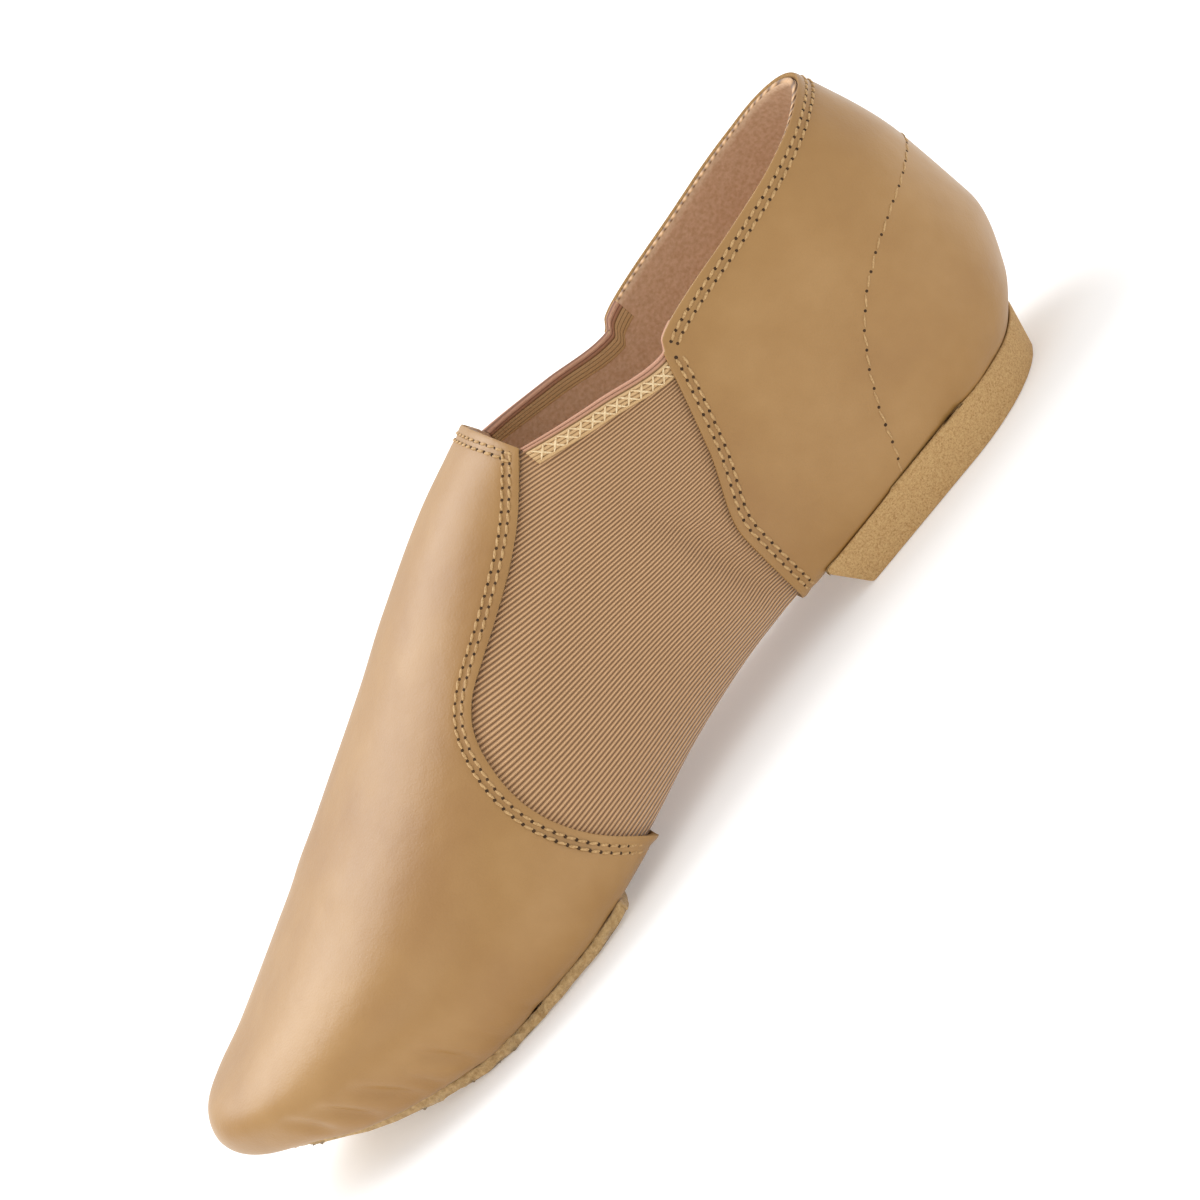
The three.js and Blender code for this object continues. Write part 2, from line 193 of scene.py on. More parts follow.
def surfaceAt(x, z, side):
    # the place on the last that is seen at x and z from one side
    x, z = np.asarray(x, float), np.asarray(z, float)
    low, high = np.full(x.shape, -0.5), np.full(x.shape, footLength - 0.01)
    for _ in range(34):
        middle = (low + high) / 2
        fade = np.maximum(1 - middle / (0.37 * footLength), 0)
        short = middle + backAhead(z / collarHeight) * footLength * fade * fade < x
        low, high = np.where(short, middle, low), np.where(short, high, middle)
    angle = footAngle(np.clip((low + high) / 2, 0.02, footLength - 0.02) / footLength)
    low, high = np.full(x.shape, flatEnd), np.full(x.shape, 0.999)
    for _ in range(34):
        middle = (low + high) / 2
        under = rawPoint(angle, side * middle)[..., 2] < z
        low, high = np.where(under, middle, low), np.where(under, high, middle)
    return angle, side * (low + high) / 2


def evenly(line, count):
    steps = np.r_[0, np.cumsum(np.linalg.norm(np.diff(line, axis=0), axis=1))]
    where = np.linspace(0, steps[-1], count)
    return np.stack([np.interp(where, steps, line[:, k]) for k in range(line.shape[1])], 1)


def splineLine(knots, count, soft):
    # a smooth line through the knots in even steps, its bends eased
    knots = np.array(knots, float)
    ends = np.vstack([2 * knots[0] - knots[1], knots, 2 * knots[-1] - knots[-2]])
    t = np.linspace(0, 1, 40, endpoint=False)[:, None]
    spans = [(2 * b + (c - a) * t + (2 * a - 5 * b + 4 * c - d) * t ** 2
              + (3 * b - a - 3 * c + d) * t ** 3) / 2
             for a, b, c, d in zip(ends, ends[1:], ends[2:], ends[3:])]
    line = evenly(np.vstack(spans + [knots[-1:]]), count)
    for _ in range(soft):
        line[1:-1] = (line[:-2] + 2 * line[1:-1] + line[2:]) / 4
    return line


def throatX(z):
    return 100 + np.clip(z - 73, 0, 9) * 0.37


def smoothFaces(bm):
    for f in bm.faces:
        f.smooth = True


def gridPiece(across, along, place):
    # a grid of quads laid out by place(u, v), which returns points and extra values per vertex
    bm = bmesh.new()
    bmesh.ops.create_grid(bm, x_segments=across, y_segments=along, size=0.5)
    uv = np.array([v.co[:2] for v in bm.verts]) + 0.5
    points, extra = place(uv[:, 0], uv[:, 1])
    points = inFrame(points)
    layer = bm.loops.layers.uv.new("UVMap")
    for v, p in zip(bm.verts, points):
        v.co = p
    bm.verts.index_update()
    smoothFaces(bm)
    for f in bm.faces:
        for loop in f.loops:
            loop[layer].uv = extra[loop.vert.index]
    turnOutward(bm)
    return bm


def turnOutward(bm):
    # a shell's faces look away from the line along its middle
    bm.normal_update()
    total = 0.0
    for f in bm.faces:
        middle = f.calc_center_median()
        total += f.normal.dot(middle - Vector((middle.x, zeroY / 1000, 0.03))) * f.calc_area()
    if total < 0:
        bmesh.ops.reverse_faces(bm, faces=bm.faces)


def keepPiece(bm, name, materials, node=None, weld=1e-6):
    if weld:
        bmesh.ops.remove_doubles(bm, verts=bm.verts, dist=weld)
        bmesh.ops.dissolve_degenerate(bm, edges=bm.edges, dist=1e-7)
    mesh = bpy.data.meshes.new(name)
    bm.to_mesh(mesh)
    bm.free()
    piece = bpy.data.objects.new(name, mesh)
    bpy.context.scene.collection.objects.link(piece)
    for material in materials:
        mesh.materials.append(material)
    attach(piece, "root")
    if node:
        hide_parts(*node)
    return piece


def trough(points, sideWanted, start, end, width, depth):
    # soft valley between two places seen from the side, deepest in its middle
    a, b = np.array(start, float), np.array(end, float)
    flat = points[:, [0, 2]]
    length = np.linalg.norm(b - a)
    run = (b - a) / length
    t = (flat - a) @ run
    off = np.abs((flat - a) @ np.array([-run[1], run[0]]))
    ends = np.clip(t / length, 0, 1) * np.clip(1 - t / length, 0, 1) * 4
    onSide = np.clip((points[:, 1] * sideWanted + 4) / 8, 0, 1) if sideWanted else 1.0
    return depth * np.exp(-(off / width) ** 2) * ends * onSide


# Materials
def newMaterial(name, look):
    material = bpy.data.materials.new(name)
    material.use_nodes = True
    nodes, links = material.node_tree.nodes, material.node_tree.links
    shader = nodes["Principled BSDF"]
    coords = nodes.new("ShaderNodeTexCoord").outputs["Object"]
    look(nodes, links, shader, coords)
    return material


def noise(nodes, links, coords, scale, detail=3.0, rough=0.5):
    node = nodes.new("ShaderNodeTexNoise")
    node.inputs["Scale"].default_value = scale
    node.inputs["Detail"].default_value = detail
    node.inputs["Roughness"].default_value = rough
    links.new(coords, node.inputs["Vector"])
    return node.outputs["Fac"]


def ramp(nodes, links, fac, stops):
    node = nodes.new("ShaderNodeValToRGB")
    elements = node.color_ramp.elements
    while len(elements) < len(stops):
        elements.new(0.5)
    for element, (at, color) in zip(elements, stops):
        element.position = at
        element.color = (*srgb(color), 1)
    links.new(fac, node.inputs["Fac"])
    return node.outputs["Color"]


def srgb(color):
    return [((c / 255 + 0.055) / 1.055) ** 2.4 if c > 10 else c / 3294 for c in color]


def mathNode(nodes, links, operation, value, second=None, third=None):
    node = nodes.new("ShaderNodeMath")
    node.operation = operation
    links.new(value, node.inputs[0])
    for k, constant in ((1, second), (2, third)):
        if constant is not None:
            node.inputs[k].default_value = constant
    return node.outputs[0]


def bump(nodes, links, height, strength, distance, before=None):
    node = nodes.new("ShaderNodeBump")
    node.inputs["Strength"].default_value = strength
    node.inputs["Distance"].default_value = distance
    links.new(height, node.inputs["Height"])
    if before:
        links.new(before, node.inputs["Normal"])
    return node.outputs["Normal"]


def leatherLook(nodes, links, shader, coords):
    broad = noise(nodes, links, coords, 24, 4, 0.6)
    color = ramp(nodes, links, broad, [(0.3, (145, 104, 51)), (0.5, (155, 115, 61)), (0.7, (166, 127, 75))])
    links.new(color, shader.inputs["Base Color"])
    worn = noise(nodes, links, coords, 60, 5, 0.65)
    gloss = nodes.new("ShaderNodeMapRange")
    gloss.inputs["To Min"].default_value = 0.34
    gloss.inputs["To Max"].default_value = 0.52
    links.new(worn, gloss.inputs["Value"])
    links.new(gloss.outputs["Result"], shader.inputs["Roughness"])
    shader.inputs["Coat Weight"].default_value = 0.12
    shader.inputs["Coat Roughness"].default_value = 0.35
    grain = nodes.new("ShaderNodeTexVoronoi")
    grain.inputs["Scale"].default_value = 1900
    links.new(coords, grain.inputs["Vector"])
    fine = bump(nodes, links, grain.outputs["Distance"], 0.16, 0.00016)
    creased = bump(nodes, links, noise(nodes, links, coords, 300, 4, 0.6), 0.22, 0.0004, fine)
    soft = bump(nodes, links, noise(nodes, links, coords, 45, 3, 0.5), 0.25, 0.0016, creased)
    links.new(soft, shader.inputs["Normal"])


def rawEdgeLook(nodes, links, shader, coords):
    fuzz = noise(nodes, links, coords, 1800, 3, 0.7)
    color = ramp(nodes, links, fuzz, [(0.35, (132, 98, 54)), (0.65, (168, 130, 80))])
    links.new(color, shader.inputs["Base Color"])
    shader.inputs["Roughness"].default_value = 0.95
    links.new(bump(nodes, links, fuzz, 0.8, 0.0004), shader.inputs["Normal"])


leather = newMaterial("leather", leatherLook)
rawEdge = newMaterial("rawEdge", rawEdgeLook)


def stretchLook(nodes, links, shader, coords):
    # the piece's own map holds the rib count across and the length along
    split = nodes.new("ShaderNodeSeparateXYZ")
    links.new(nodes["Texture Coordinate"].outputs["UV"], split.inputs["Vector"])
    turn = mathNode(nodes, links, "MULTIPLY", split.outputs["X"], 2 * math.pi)
    rib = mathNode(nodes, links, "MULTIPLY_ADD", mathNode(nodes, links, "SINE", turn), 0.5, 0.5)
    # the rib wave sets the colour as well as the bump: painted shade in the grooves between the ribs and
    # painted highlight on their crests
    color = ramp(nodes, links, rib, [(0.0, (106, 72, 40)), (0.35, (168, 126, 82)), (1.0, (206, 164, 120))])
    links.new(color, shader.inputs["Base Color"])
    shader.inputs["Roughness"].default_value = 0.85
    shader.inputs["Sheen Weight"].default_value = 0.25
    links.new(bump(nodes, links, rib, 0.7, 0.0005), shader.inputs["Normal"])


def liningLook(nodes, links, shader, coords):
    weave = noise(nodes, links, coords, 1200, 2, 0.5)
    color = ramp(nodes, links, weave, [(0.3, (196, 158, 124)), (0.7, (216, 182, 150))])
    links.new(color, shader.inputs["Base Color"])
    shader.inputs["Roughness"].default_value = 0.9
    links.new(bump(nodes, links, weave, 0.3, 0.0002), shader.inputs["Normal"])


stretch = newMaterial("stretch", stretchLook)
lining = newMaterial("lining", liningLook)


def suedeLook(nodes, links, shader, coords):
    nap = noise(nodes, links, coords, 900, 4, 0.75)
    color = ramp(nodes, links, nap, [(0.3, (160, 126, 78)), (0.7, (206, 174, 124))])
    links.new(color, shader.inputs["Base Color"])
    shader.inputs["Roughness"].default_value = 1.0
    shader.inputs["Sheen Weight"].default_value = 0.3
    links.new(bump(nodes, links, nap, 0.7, 0.0006), shader.inputs["Normal"])


def heelLook(nodes, links, shader, coords):
    speck = noise(nodes, links, coords, 2400, 4, 0.8)
    color = ramp(nodes, links, speck,
                 [(0.32, (156, 116, 66)), (0.46, (192, 152, 98)), (0.66, (212, 178, 124))])
    links.new(color, shader.inputs["Base Color"])
    shader.inputs["Roughness"].default_value = 0.92
    links.new(bump(nodes, links, speck, 0.7, 0.0006), shader.inputs["Normal"])


suede = newMaterial("suede", suedeLook)
heelRubber = newMaterial("heelRubber", heelLook)


def threadLook(dark, light):
    def look(nodes, links, shader, coords):
        ply = noise(nodes, links, coords, 2600, 2, 0.5)
        links.new(ramp(nodes, links, ply, [(0.3, dark), (0.7, light)]), shader.inputs["Base Color"])
        shader.inputs["Roughness"].default_value = 0.6
        links.new(bump(nodes, links, ply, 0.5, 0.0002), shader.inputs["Normal"])
    return look


def holeShadeLook(nodes, links, shader, coords):
    # painted shade: near-black colour for the discs that stand in for the shadow inside needle holes
    color = ramp(nodes, links, noise(nodes, links, coords, 900), [(0.3, (46, 30, 14)), (0.7, (74, 50, 26))])
    links.new(color, shader.inputs["Base Color"])
    shader.inputs["Roughness"].default_value = 1.0


thread = newMaterial("thread", threadLook((158, 120, 72), (198, 162, 110)))
paleThread = newMaterial("paleThread", threadLook((204, 172, 124), (232, 210, 170)))
holeShade = newMaterial("holeShade", holeShadeLook)
print("materials ready")

# Vamp
vamp = {"along": 170, "half": 130, "margin": 0.17, "rounds": 40}
vamp.update({"hem": 3.6, "hemShare": 0.12, "hemRows": 21})
vamp["valleys"] = [
    # pleats where the leather is drawn in under the toe
    (1, (182, 2), (187, 11), 1.8, 0.5),
    (1, (191, 3), (197, 14), 1.5, 0.7),
    (1, (198, 4), (206, 18), 1.5, 1.3),
    (1, (206, 6), (211, 15), 1.1, 0.8),
    (1, (210, 7), (220, 21), 1.5, 1.4),
    (1, (219, 10), (227, 22), 1.3, 1.2),
    (1, (227, 14), (233, 24), 1.2, 0.9),
    (-1, (188, 2), (193, 11), 1.6, 0.9),
    (-1, (197, 4), (203, 15), 1.6, 1.2),
    (-1, (209, 7), (217, 19), 1.6, 1.2),
    (-1, (221, 12), (228, 22), 1.4, 1.0),
    # slack in the leather behind the ball
    (1, (150, 14), (172, 30), 6.0, 0.35),
    (1, (158, 46), (196, 22), 9.0, 0.3),
    (-1, (150, 12), (170, 30), 6.0, 0.4),
]


def dented(points, out, valleys):
    dent = np.zeros(len(points))
    for valley in valleys:
        dent += trough(points, *valley)
    return points - out * dent[:, None]


def seamChannel(distance):
    # the two stitch rows draw the leather in, and the cut edge rolls down a little
    return 0.2 * np.exp(-((distance - 2.7) / 1.1) ** 2) + 0.3 * np.exp(-distance / 0.4)


def walkedIn(angle, girth, toward, reach, steps=5):
    # moves over the last's face by reach, along the given directions
    for _ in range(steps):
        side, g = np.sign(girth), np.abs(girth)
        low, high = np.clip(g - 0.003, 0.0001, 0.9999), np.clip(g + 0.003, 0.0001, 0.9999)
        along = (rawPoint(angle + 0.001, girth) - rawPoint(angle - 0.001, girth)) / 0.002
        around = (rawPoint(angle, side * high) - rawPoint(angle, side * low)) / (side * (high - low))[:, None]
        aa, ab, bb = (along * along).sum(1), (along * around).sum(1), (around * around).sum(1)
        ta, tb = (toward * along).sum(1), (toward * around).sum(1)
        scale = reach / steps / (aa * bb - ab * ab)
        angle = angle + (ta * bb - tb * ab) * scale
        girth = side * np.clip(np.abs(girth + (tb * aa - ta * ab) * scale), 0, 0.9999)
    return angle, girth


def vampRim(side):
    # the cut edge from the margin under the foot, round the J, up to the ridge at the throat
    angle, girth = surfaceAt(*vamp["line"].T, side)
    under = np.linspace(side * vamp["margin"], girth[0], 24)[:-1]
    top = np.linspace(girth[-1], side * 0.9999, 40)[1:]
    corner = len(under) + len(girth) - 1
    angle = np.r_[np.full(len(under), angle[0]), angle, solveAngle(top, throatX, 0.3, 0.6)]
    girth = np.r_[under, girth, top]
    points = rawPoint(angle, girth)
    # rows are shared out by the length of the edge, and partly by girth
    arc = np.r_[0, np.cumsum(np.linalg.norm(np.diff(points, axis=0), axis=1))]
    arc = 0.65 * arc / arc[-1] + 0.35 * (np.abs(girth) - np.abs(girth[0])) / np.ptp(np.abs(girth))
    share = np.round(arc[corner] * vamp["half"]) / vamp["half"]
    after = share + (arc - arc[corner]) / (1 - arc[corner]) * (1 - share)
    t = np.where(arc <= arc[corner], arc / arc[corner] * share, after)
    run = np.gradient(points, axis=0)
    toward = side * np.cross(facePoint(angle, girth)[1], run)
    toward[-1] = (1, 0, 0)
    for _ in range(120):
        toward /= np.linalg.norm(toward, axis=1, keepdims=True)
        toward[1:-1] = (toward[:-2] + 2 * toward[1:-1] + toward[2:]) / 4
    inAngle, inGirth = walkedIn(angle, girth, toward, vamp["hem"])
    inGirth[-1] = girth[-1]
    first = len(under)
    front = first + int(np.argmax(inAngle[first:corner]))
    rim = {"t": t, "angle": angle, "girth": np.abs(girth), "inAngle": inAngle, "inGirth": np.abs(inGirth),
           "points": points, "first": first, "corner": corner, "front": front}
    rim["shift"] = rim["inGirth"] - rowGirth(rim, inAngle, t)
    return rim


def rowGirth(rim, angle, t):
    # where a row lies at an angle: shared out between the J and the ridge, or the J and the sole
    low, high = slice(rim["first"], rim["front"] + 1), slice(rim["corner"], rim["front"] - 1, -1)
    tHigh = np.interp(angle, rim["inAngle"][high], rim["t"][high])
    gHigh = np.interp(angle, rim["inAngle"][high], rim["inGirth"][high])
    tLow = np.interp(angle, rim["inAngle"][low], rim["t"][low])
    gLow = np.interp(angle, rim["inAngle"][low], rim["inGirth"][low])
    above = gHigh + (0.9999 - gHigh) * (t - tHigh) / (1 - tHigh)
    below = vamp["margin"] + (gLow - vamp["margin"]) * t / tLow
    return np.where(t > rim["t"][rim["front"]], above, below)


vamp["line"] = splineLine(
    [(141.6, 5), (149.9, 18), (153.9, 30), (152.9, 40), (147, 50), (129.1, 57), (112.9, 64), (100, 73)],
    200, 90)
vampRims = {side: vampRim(side) for side in (1, -1)}
rimPoints = np.vstack([rim["points"][rim["first"]:] for rim in vampRims.values()])
rimTree = KDTree(len(rimPoints))
for k, point in enumerate(rimPoints):
    rimTree.insert(point, k)
rimTree.balance()


def relaxed(u, v, values):
    # evens out the grid, more and more ahead of the hem, its border and the ridge held
    order = np.lexsort((v, u))
    grid = values[order].reshape(vamp["along"] + 1, 2 * vamp["half"] + 1)
    weight = np.clip((np.arange(vamp["along"] + 1) - vamp["hemRows"]) / 14, 0, 1)[:, None]
    for _ in range(vamp["rounds"]):
        even = grid.copy()
        even[1:-1, 1:-1] = (grid[:-2, 1:-1] + grid[2:, 1:-1] + grid[1:-1, :-2] + grid[1:-1, 2:]) / 4
        even[:, vamp["half"]] = grid[:, vamp["half"]]
        grid = grid + (even - grid) * weight
    result = values.copy()
    result[order] = grid.ravel()
    return result


def vampPlace(u, v):
    q = v * 2 - 1
    t = 1 - np.abs(q)
    side = np.where(q < 0, -1.0, 1.0)
    start, rim, inAngle, inGirth, shift = [
        np.where(side > 0, np.interp(t, vampRims[1]["t"], vampRims[1][key]),
                 np.interp(t, vampRims[-1]["t"], vampRims[-1][key]))
        for key in ("angle", "girth", "inAngle", "inGirth", "shift")]
    # straight in from the edge over the hem, then on toward the toe
    hem = np.clip(u / vamp["hemShare"], 0, 1) ** 1.2
    rest = np.clip((u - vamp["hemShare"]) / (1 - vamp["hemShare"]), 0, 1) ** 1.2
    fade = np.clip(rest / 0.25, 0, 1)
    fade = 1 - fade * fade * (3 - 2 * fade)
    angle = inAngle + rest * (1 - inAngle)
    girth = np.where(side > 0, rowGirth(vampRims[1], angle, t), rowGirth(vampRims[-1], angle, t))
    girth = girth + shift * fade
    angle = np.where(u < vamp["hemShare"], start + (inAngle - start) * hem, angle)
    girth = np.where(u < vamp["hemShare"], rim + (inGirth - rim) * hem, girth)
    angle, girth = relaxed(u, v, angle), relaxed(u, v, girth)
    points, out = facePoint(angle, side * np.clip(girth, 0, 0.9999))
    near = u < 0.2
    distance = np.full(len(u), 99.0)
    distance[near] = [rimTree.find(p)[2] for p in points[near]]
    flare = 0.9 * np.exp(-((points[:, 2] - 5) / 3) ** 2) * np.exp(-distance / 2.5)
    points = points + out * (flare - seamChannel(distance))[:, None]
    return dented(points, out, vamp["valleys"]), np.stack([u, v], -1)


bm = gridPiece(vamp["along"], 2 * vamp["half"], vampPlace)
vampLeather = keepPiece(bm, "vampLeather", [leather, rawEdge], ["vamp"])
print("vamp made")

# Quarter
quarter = {"along": 150, "high": 96, "margin": 0.17}
quarter["valleys"] = [
    (1, (60, 58), (52, 34), 3.0, 0.3),
    (1, (72, 28), (77, 12), 2.2, 0.4),
    (1, (66, 24), (70, 12), 2.0, 0.25),
    (0, (20, 14), (52, 18), 4.0, 0.3),
    (-1, (66, 50), (70, 18), 4.0, 0.4),
]


def quarterPlace(u, v):
    q = u * 2 - 1
    q = np.sign(q) * (1 - (1 - np.abs(q)) ** 1.3)
    side = np.where(q < 0, -1.0, 1.0)
    v = 1 - (1 - v) ** 1.3
    low, high = np.full(len(u), 0.0), np.full(len(u), 0.5)
    for _ in range(34):
        middle = (low + high) / 2
        top = solveGirth(middle, side, collarX)
        p = rawPoint(middle, side * (quarter["margin"] + (top - quarter["margin"]) * v))
        short = p[..., 0] < quarterAhead(p[..., 2])
        low, high = np.where(short, middle, low), np.where(short, high, middle)
    end = (low + high) / 2
    angle = np.abs(q) * end
    top = solveGirth(angle, side, collarX)
    girth = side * (quarter["margin"] + (top - quarter["margin"]) * v)
    points, out = facePoint(angle, girth)
    endTop = solveGirth(end, side, collarX)
    front = facePoint(end, side * (quarter["margin"] + (endTop - quarter["margin"]) * v))[0]
    ahead = np.linalg.norm(points - front, axis=1)
    above = np.linalg.norm(points - rawPoint(angle, side * top), axis=1)
    points = points - out * np.maximum(seamChannel(ahead), seamChannel(above))[:, None]
    return dented(points, out, quarter["valleys"]), np.stack([u, v], -1)


bm = gridPiece(2 * quarter["along"], quarter["high"], quarterPlace)
quarterLeather = keepPiece(bm, "quarterLeather", [leather, rawEdge], ["heel_quarter"])
print("quarter made")

# Stretch upper: a long part up to the topline, and the lining's front part over the instep
throatAngle = float(solveAngle(np.array([0.82]), lambda z: 100.0 + 0 * z, 0.3, 0.6)[0])
upper = {"rear": 110, "front": 60, "low": 60, "high": 24}


def bottomGirth(angle):
    x = (1 - np.cos(math.pi * angle)) / 2 * footLength
    open_ = np.clip(np.abs(x - 118) / 10 - 4.2, 0, 1)
    return 0.17 * open_ * open_ * (3 - 2 * open_)


cornerGirth = {s: float(solveGirth(np.array([throatAngle]), s, collarX)[0]) for s in (-1, 1)}


def stretchValues(points):
    x, z = points[:, 0], points[:, 2]
    rib = z - 0.24 * (x - 100) * np.clip((z - 5) / 60, 0, 1)
    return np.stack([rib / 0.72, x / 100], -1)


def longPlace(side, rear):
    def place(u, v):
        angle = u * throatAngle if rear else throatAngle + u * (1 - throatAngle)
        top = solveGirth(angle, side, collarX) if rear else np.full(len(u), cornerGirth[side])
        low = bottomGirth(angle)
        points, out = facePoint(angle, side * (low + (top - low) * v), stretchDepth)
        return dented(points, out, upper["valleys"]), stretchValues(points)
    return place


def frontPlace(u, v):
    q = v * 2 - 1
    side = np.where(q < 0, -1.0, 1.0)
    corner = np.where(q < 0, cornerGirth[-1], cornerGirth[1])
    girth = side * (corner + (1 - np.abs(q)) * (0.9999 - corner))
    start = solveAngle(girth, throatX, throatAngle - 0.002, 0.75)
    angle = start + u * (1 - start)
    points, out = facePoint(angle, girth, stretchDepth)
    return points, stretchValues(points)


upper["valleys"] = [
    # the fold beside the quarter's edge, and the swell in front of it
    (0, (93, 54), (89, 10), 3.2, 1.9),
    (0, (104, 58), (101, 14), 7.0, -0.9),
    (0, (122, 46), (112, 8), 9.0, 0.6),
]
bm = bmesh.new()
parts = [gridPiece(upper["rear"], upper["low"], longPlace(side, True)) for side in (-1, 1)]
parts += [gridPiece(upper["front"], upper["low"], longPlace(side, False)) for side in (-1, 1)]
parts += [gridPiece(upper["front"], 2 * upper["high"], frontPlace)]
for part in parts:
    mesh = bpy.data.meshes.new("part")
    part.to_mesh(mesh)
    part.free()
    bm.from_mesh(mesh)
    bpy.data.meshes.remove(mesh)
bmesh.ops.remove_doubles(bm, verts=bm.verts, dist=4e-5)
bmesh.ops.recalc_face_normals(bm, faces=bm.faces)
turnOutward(bm)
stretchUpper = keepPiece(bm, "stretchUpper", [stretch, lining], ["upper"])
print("stretch upper made")

# Bindings: corded bands over the stretch's top edge
binding = {"width": 4.6, "cords": 6, "outer": stretchDepth - 0.5, "inner": stretchDepth + stretchThick + 0.1}


def bandPoint(side, u, t, depth):
    # u runs from the quarter's edge to the vamp's, t from the top edge down
    start = solveAngle(np.full(np.shape(u), side * 0.74), quarterAhead, 0.2, 0.5)
    angle = start + (throatAngle - start) * u
    width = binding["width"] * (1.12 - 0.2 * u)
    top = solveGirth(angle, side, lambda x: collarX(x) + 0.3)
    low = solveGirth(angle, side, lambda x: collarX(x) - width)
    return facePoint(angle, side * (top + (low - top) * t), depth)


def bindingPlace(side):
    def place(u, v):
        t = np.abs(v * 2 - 1)
        lip = np.minimum(np.clip(t / 0.14, 0, 1), np.clip((1 - t) / 0.06, 0, 1))
        lip = np.sqrt(1 - (1 - lip) ** 2)
        middle, half = (binding["outer"] + binding["inner"]) / 2, (binding["inner"] - binding["outer"]) / 2
        cord = 0.26 * np.abs(np.sin(t * math.pi * binding["cords"])) * lip
        depth = np.where(v > 0.5, middle - half * lip - cord, middle + half * lip)
        return bandPoint(side, u, t, depth)[0], np.stack([u * 34, t], -1)
    return place


def bindingLook(nodes, links, shader, coords):
    split = nodes.new("ShaderNodeSeparateXYZ")
    links.new(nodes["Texture Coordinate"].outputs["UV"], split.inputs["Vector"])
    edge = ramp(nodes, links, split.outputs["Y"], [
        (0.0, (190, 142, 116)), (0.26, (184, 138, 110)), (0.31, (142, 104, 66)), (0.37, (206, 172, 126)),
        (1.0, (196, 160, 112))])
    turn = mathNode(nodes, links, "MULTIPLY", split.outputs["Y"], math.pi * binding["cords"])
    cord = mathNode(nodes, links, "ABSOLUTE", mathNode(nodes, links, "SINE", turn))
    # painted shade: the band's colour is darkened in the grooves between the cords, over the cords' own
    # relief
    shade = ramp(nodes, links, cord, [(0.0, (150, 140, 128)), (0.5, (255, 255, 255))])
    cordShadeMix = nodes.new("ShaderNodeMix")
    cordShadeMix.data_type = "RGBA"
    cordShadeMix.blend_type = "MULTIPLY"
    cordShadeMix.inputs["Factor"].default_value = 1.0
    links.new(edge, cordShadeMix.inputs["A"])
    links.new(shade, cordShadeMix.inputs["B"])
    links.new(cordShadeMix.outputs["Result"], shader.inputs["Base Color"])
    shader.inputs["Roughness"].default_value = 0.8
    ply = noise(nodes, links, coords, 2200, 2, 0.5)
    links.new(bump(nodes, links, ply, 0.6, 0.0003), shader.inputs["Normal"])


bindingCord = newMaterial("bindingCord", bindingLook)
bindings = []
for side, node in ((1, "binding_lateral"), (-1, "binding_medial")):
    bm = gridPiece(110, 200, bindingPlace(side))
    bmesh.ops.remove_doubles(bm, verts=bm.verts, dist=2e-6)
    bmesh.ops.holes_fill(bm, edges=[e for e in bm.edges if e.is_boundary])
    bmesh.ops.recalc_face_normals(bm, faces=bm.faces)
    bindings.append(keepPiece(bm, "band_" + node, [bindingCord], [node]))
print("bindings made")

# Sole patch, heel block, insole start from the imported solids, merged and rounded
def fromSolid(node, name, materials, bevel, segments, wave=0.0):
    bm = bmesh.new()
    bm.from_mesh(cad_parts[node].data)
    bmesh.ops.remove_doubles(bm, verts=bm.verts, dist=2e-5)
    bmesh.ops.dissolve_limit(bm, angle_limit=0.02, verts=bm.verts, edges=bm.edges)
    if wave:
        # the rim is cut by hand and wanders a little
        middle = sum((v.co for v in bm.verts), Vector()) / len(bm.verts)
        rim = [e for e in bm.edges if abs(e.verts[0].co.z - e.verts[1].co.z) < 0.0012
               and e.calc_length() > 0.001 and e.calc_face_angle(0) > 0.5]
        bmesh.ops.subdivide_edges(bm, edges=rim, cuts=3)
        for v in bm.verts:
            push = Vector((v.co.x - middle.x, (v.co.y - middle.y) * 3, 0)).normalized()
            x = v.co.x * 1000
            wander = math.sin(x * 1.9) + 0.7 * math.sin(x * 3.7 + 1) + 0.8 * math.sin(x * 0.8 + 2)
            v.co += push * wave * wander
    sharp = [e for e in bm.edges if len(e.link_faces) == 2 and e.calc_face_angle() > 0.9]
    bmesh.ops.bevel(bm, geom=sharp, offset=bevel, segments=segments, profile=0.5, affect="EDGES", material=-1)
    smoothFaces(bm)
    return keepPiece(bm, name, materials, [node])


solePatch = fromSolid("forefoot_sole", "solePatch", [suede], 0.0003, 2, 0.00018)
heel = fromSolid("heel_block", "heelBlock", [heelRubber], 0.0006, 2)
insole = fromSolid("insole", "insoleSheet", [lining], 0.0003, 2)
print("soles made")

# Thickness of the panels
panels = ((vampLeather, leatherThick), (quarterLeather, leatherThick), (stretchUpper, stretchThick))
for piece, thick in panels:
    solid = piece.modifiers.new("thick", "SOLIDIFY")
    solid.thickness = thick / 1000
    solid.offset = -1
    solid.use_even_offset = False
    if piece is stretchUpper:
        solid.material_offset = 1
        solid.material_offset_rim = 0
    else:
        solid.material_offset_rim = 1

# Stitches: a bar of thread per stitch, its ends at needle holes; each of these holes is drawn as a flat dark
# disc of painted shade
def onFace(points, side):
    angle, girth = surfaceAt(points[:, 0], points[:, 2], side)
    return facePoint(angle, girth)


def insideEdge(angle, girth, side, inset):
    # the row that runs a distance inside an edge, measured over the leather
    points, out = facePoint(angle, girth)
    run = np.gradient(points, axis=0)
    run /= np.linalg.norm(run, axis=1, keepdims=True)
    inward = np.cross(out, run)
    return onFace(points + inward * inset, side)


